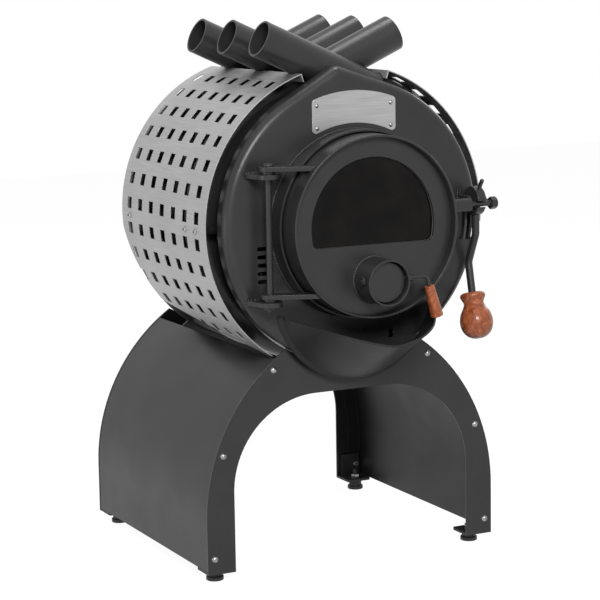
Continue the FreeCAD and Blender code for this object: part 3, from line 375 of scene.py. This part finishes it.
def add_tube(builder, path, radius_at, sides, closed):
    """Skin a tube round a path; radius_at gives the radius at each step."""
    rings = []
    count = len(path)
    up_hint = Vector((0.31, 0.22, 0.93))
    for i in range(count):
        before = path[i - 1] if closed or i > 0 else path[i]
        after = path[(i + 1) % count] if closed or i < count - 1 else path[i]
        along = (after - before).normalized()
        side = along.cross(up_hint).normalized()
        over = side.cross(along).normalized()
        ring = []
        for k in range(sides):
            turn = 2 * math.pi * k / sides
            offset = side * math.cos(turn) + over * math.sin(turn)
            ring.append(builder.verts.new(path[i] + offset * radius_at(i)))
        rings.append(ring)
    for i in range(count if closed else count - 1):
        first = rings[i]
        second = rings[(i + 1) % count]
        for k in range(sides):
            after = (k + 1) % sides
            builder.faces.new((first[k], first[after], second[after], second[k]))
    if not closed:
        builder.faces.new(list(reversed(rings[0])))
        builder.faces.new(rings[-1])


def add_lathe(builder, start, direction, profile, sides):
    """Turn a profile of (radius, distance) pairs about a line; a radius of 0 closes an end."""
    side = direction.cross(Vector((1, 0.2, 0))).normalized()
    over = direction.cross(side)
    rings = []
    for radius, distance in profile:
        middle = start + direction * distance
        if radius == 0:
            rings.append([builder.verts.new(middle)])
            continue
        turns = [2 * math.pi * k / sides for k in range(sides)]
        spokes = [side * math.cos(t) + over * math.sin(t) for t in turns]
        rings.append([builder.verts.new(middle + spoke * radius) for spoke in spokes])
    for first, second in zip(rings, rings[1:]):
        for k in range(sides):
            after = (k + 1) % sides
            corners = [first[k % len(first)], second[k % len(second)], second[after % len(second)],
                       first[after % len(first)]]
            builder.faces.new(list(dict.fromkeys(corners)))


def smooth_profile(points, steps):
    """A flowing line through the points of a profile."""
    result = []
    last = len(points) - 1
    for i in range(last):
        nearby = [max(0, min(last, k)) for k in (i - 1, i, i + 1, i + 2)]
        before, start, end, after = (Vector(points[k]) for k in nearby)
        for step in range(steps):
            t = step / steps
            spot = 0.5 * (2 * start + (end - before) * t + (2 * before - 5 * start + 4 * end - after) * t ** 2
                          + (3 * start - before - 3 * end + after) * t ** 3)
            result.append((max(spot.x, 0.0002), spot.y))
    return result + [tuple(points[-1])]


# Turned knob of the handle
def make_knob():
    start = joint_places["latch_turn"] + Vector((0, knob_back, -knob_drop))
    direction = Vector((0, -math.sin(knob_lean), -math.cos(knob_lean)))
    points = [(knob_radius * r, knob_length * h) for r, h in knob_outline]
    profile = smooth_profile(points, knob_steps)[:-1] + [(0, points[-1][1])]
    builder = bmesh.new()
    add_lathe(builder, start, direction, profile, knob_sides)
    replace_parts(add_piece("turned_knob", builder, "grip_wood", "latch"), "handle_knob")


# Turned grip of the damper lever, a slim cone with eased ends
def make_grip():
    direction = Vector((math.sin(grip_lean), 0, -math.cos(grip_lean)))
    elbow = joint_places["damper_turn"] + Vector((lever_elbow, 0, 0))
    start = elbow + direction * (grip_drop / math.cos(grip_lean))
    profile = [(grip_hole_radius, 0)]
    profile += [(grip_top_radius - step_in, along) for step_in, along in grip_top_easing]
    profile += [(grip_end_radius - step_in, grip_length - along) for step_in, along in grip_end_easing]
    profile += [(0, grip_length)]
    builder = bmesh.new()
    add_lathe(builder, start, direction, profile, grip_sides)
    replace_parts(add_piece("turned_grip", builder, "grip_wood", "damper"), "damper_grip")


# Rope seal of three twisted strands
def make_rope():
    centre = (rope_low + rope_high) / 2
    thick = (rope_high.y - rope_low.y) / 2
    reach = (rope_high.x - rope_low.x) / 2 - thick
    steps = rope_twists * rope_steps_per_twist
    builder = bmesh.new()
    for strand in range(rope_strands):
        path = []
        for i in range(steps):
            round_turn = 2 * math.pi * i / steps
            twist = rope_twists * round_turn + 2 * math.pi * strand / rope_strands
            spread_out = reach + thick * strand_offset * math.cos(twist)
            spot = Vector((
                spread_out * math.cos(round_turn),
                thick * strand_offset * math.sin(twist),
                spread_out * math.sin(round_turn),
            ))
            path.append(centre + spot)
        add_tube(builder, path, lambda i: thick * strand_radius, strand_sides, True)
    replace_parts(add_piece("twisted_rope", builder, "seal_cord", "door"), "rope_seal")


# Weld beads with a rippled surface
def add_weld(name, path, body, closed):
    builder = bmesh.new()
    def ripple(i):
        return weld_radius * (1 + weld_ripple * math.sin(i * math.pi / 2))

    add_tube(builder, path, ripple, weld_sides, closed)
    add_piece(name, builder, "stove_paint", body)


def circle_path(centre, radius, y, steps):
    turns = [2 * math.pi * i / steps for i in range(steps)]
    return [Vector((centre.x + radius * math.cos(t), y, centre.z + radius * math.sin(t))) for t in turns]


def straight_path(start, end, steps):
    return [start.lerp(end, i / steps) for i in range(steps + 1)]


def make_welds():
    collar_radius = (collar_high.x - collar_low.x) / 2
    path = circle_path((collar_low + collar_high) / 2, collar_radius, plate_front, collar_weld_steps)
    add_weld("weld_collar", path, "stove", True)
    inlet_radius = (inlet_high.x - inlet_low.x) / 2
    path = circle_path((inlet_low + inlet_high) / 2, inlet_radius, inlet_high.y, inlet_weld_steps)
    add_weld("weld_inlet", path, "door", True)
    flue_radius = (flue_high.x - flue_low.x) / 2
    path = circle_path((flue_low + flue_high) / 2, flue_radius, rear_plate_high.y, flue_weld_steps)
    add_weld("weld_flue", path, "stove", True)
    lug_heights = (lug_low.z, lug_low.z + lug_thickness, lug_high.z - lug_thickness, lug_high.z)
    for number, height in enumerate(lug_heights):
        start = Vector((lug_low.x + lug_weld_start, plate_front, height))
        end = Vector((lug_high.x - lug_weld_end, plate_front, height))
        path = straight_path(start, end, lug_weld_steps)
        add_weld("weld_lug_" + str(number + 1), path, "stove", False)
    for number, side in enumerate((bracket_low.x, bracket_high.x)):
        start = Vector((side, plate_front, bracket_low.z + bracket_weld_inset))
        end = Vector((side, plate_front, bracket_high.z - bracket_weld_inset))
        path = straight_path(start, end, bracket_weld_steps)
        add_weld("weld_bracket_" + str(number + 1), path, "stove", False)


make_knob()
make_grip()
make_rope()
make_welds()

# Camera at the photo's angle
camera_yaw = math.radians(26.53)
camera_pitch = math.radians(9.10)
camera_roll = math.radians(-0.93)
camera_distance = 3.1758
camera_target = Vector((-0.088, -0.15365, 0.4246))
camera_lens = 125.9
camera_sensor = 36
camera_reach = 50


def place_camera():
    back = Vector((
        -math.sin(camera_yaw) * math.cos(camera_pitch),
        -math.cos(camera_yaw) * math.cos(camera_pitch),
        math.sin(camera_pitch),
    ))
    level = Vector((math.cos(camera_yaw), -math.sin(camera_yaw), 0))
    upright = level.cross(-back)
    right = level * math.cos(camera_roll) + upright * math.sin(camera_roll)
    up = upright * math.cos(camera_roll) - level * math.sin(camera_roll)
    eye = camera_target + back * camera_distance
    data = bpy.data.cameras.new("photo_camera")
    data.lens = camera_lens
    data.sensor_width = camera_sensor
    data.clip_end = camera_reach
    camera = bpy.data.objects.new("photo_camera", data)
    turn = Matrix((right, up, back)).transposed().to_4x4()
    camera.matrix_world = Matrix.Translation(eye) @ turn
    bpy.context.scene.collection.objects.link(camera)
    bpy.context.scene.camera = camera


place_camera()


# Soft light from large panels and an even surround
def area_light(name, place, target, size, power):
    data = bpy.data.lights.new(name, "AREA")
    data.shape = "RECTANGLE"
    data.size, data.size_y = size
    data.energy = power
    light = bpy.data.objects.new(name, data)
    aim = (Vector(target) - Vector(place)).to_track_quat("-Z", "Y")
    light.matrix_world = Matrix.Translation(Vector(place)) @ aim.to_matrix().to_4x4()
    bpy.context.scene.collection.objects.link(light)


stove_middle = (0, 0, 0.42)
area_light("left_panel", (-3.0, -0.7, 0.35), stove_middle, (1.0, 0.4), 7)
area_light("front_panel", (-1.2, -3.2, 2.3), stove_middle, (1.3, 1.0), 100)
area_light("top_panel", (0.3, 0.2, 3.0), stove_middle, (0.9, 0.9), 24)
area_light("right_panel", (3.0, 1.6, 1.8), stove_middle, (1.0, 0.8), 12)


def light_path_share(tree):
    """1 for rays that show the background: from the camera, by reflection or through glass."""
    path = tree.nodes.new("ShaderNodeLightPath")
    first = tree.nodes.new("ShaderNodeMath")
    first.operation = "MAXIMUM"
    second = tree.nodes.new("ShaderNodeMath")
    second.operation = "MAXIMUM"
    tree.links.new(path.outputs["Is Camera Ray"], first.inputs[0])
    tree.links.new(path.outputs["Is Glossy Ray"], first.inputs[1])
    tree.links.new(first.outputs[0], second.inputs[0])
    tree.links.new(path.outputs["Is Transmission Ray"], second.inputs[1])
    return second.outputs[0]


def make_surround(level):
    world = bpy.data.worlds.new("studio")
    world.use_nodes = True
    bpy.context.scene.world = world
    tree = world.node_tree
    soft = tree.nodes["Background"]
    soft.inputs["Color"].default_value = (1, 1, 1, 1)
    soft.inputs["Strength"].default_value = level
    white = tree.nodes.new("ShaderNodeBackground")
    white.inputs["Color"].default_value = (1, 1, 1, 1)
    white.inputs["Strength"].default_value = 1.0
    mixer = tree.nodes.new("ShaderNodeMixShader")
    tree.links.new(light_path_share(tree), mixer.inputs["Fac"])
    tree.links.new(soft.outputs[0], mixer.inputs[1])
    tree.links.new(white.outputs[0], mixer.inputs[2])
    tree.links.new(mixer.outputs[0], tree.nodes["World Output"].inputs["Surface"])


surround_level = 0.1
make_surround(surround_level)

# Pale floor that shows white and keeps the shadow
floor_half_size = 6.0
floor_glow = 0.95
floor_grey = 0.25


def make_floor(half_size):
    builder = bmesh.new()
    bmesh.ops.create_grid(builder, x_segments=1, y_segments=1, size=half_size)
    mesh = bpy.data.meshes.new("floor")
    builder.to_mesh(mesh)
    builder.free()
    floor = bpy.data.objects.new("floor", mesh)
    bpy.context.scene.collection.objects.link(floor)
    material, tree, shader = start_material("pale_floor")
    shader.inputs["Base Color"].default_value = (*grey(floor_grey), 1)
    shader.inputs["Roughness"].default_value = 0.9
    shader.inputs["Specular IOR Level"].default_value = 0.0
    glow = tree.nodes.new("ShaderNodeMath")
    glow.operation = "MULTIPLY"
    glow.inputs[1].default_value = floor_glow
    tree.links.new(light_path_share(tree), glow.inputs[0])
    shader.inputs["Emission Color"].default_value = (1, 1, 1, 1)
    tree.links.new(glow.outputs[0], shader.inputs["Emission Strength"])
    floor.data.materials.append(material)


make_floor(floor_half_size)

bpy.context.scene.view_settings.view_transform = "Standard"
